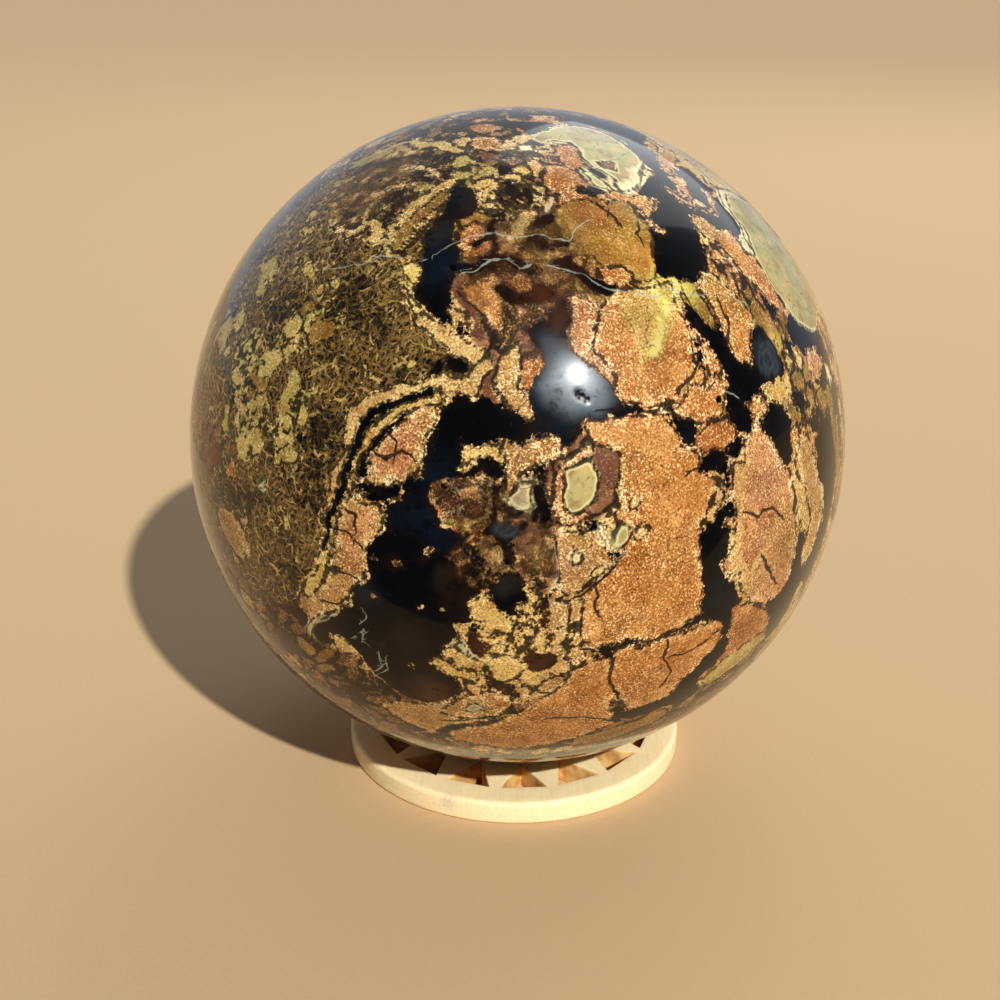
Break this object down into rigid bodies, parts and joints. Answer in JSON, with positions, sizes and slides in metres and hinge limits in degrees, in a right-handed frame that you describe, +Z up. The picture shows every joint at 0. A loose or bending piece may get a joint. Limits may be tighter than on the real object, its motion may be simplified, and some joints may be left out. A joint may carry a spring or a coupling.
{
  "type": "decorative sphere",
  "caption": "Polished stone sphere of brecciated jasper and dark chalcedony, resting in the dished hole of a low round wooden ring stand pierced by triangles.",
  "frame": {"origin": "middle of the ring stand's underside, on the surface that it stands on", "axes": "+Z up through the middle of the ring and the sphere, the sphere's best face towards -Y, +X to the right of it"},
  "size_m": [0.11, 0.11, 0.113],
  "materials": {
    "polished_jasper": "polished to a mirror gloss; orange and tan granular fragments, olive moss-like growths and pale green spots in near-black chalcedony",
    "pale_wood": "bare, sanded smooth and matte, the cut walls of the piercings browned"
  },
  "bodies": {
    "root": {"stone_sphere": "polished_jasper", "ring_stand": "pale_wood"}
  },
  "joints": []
}
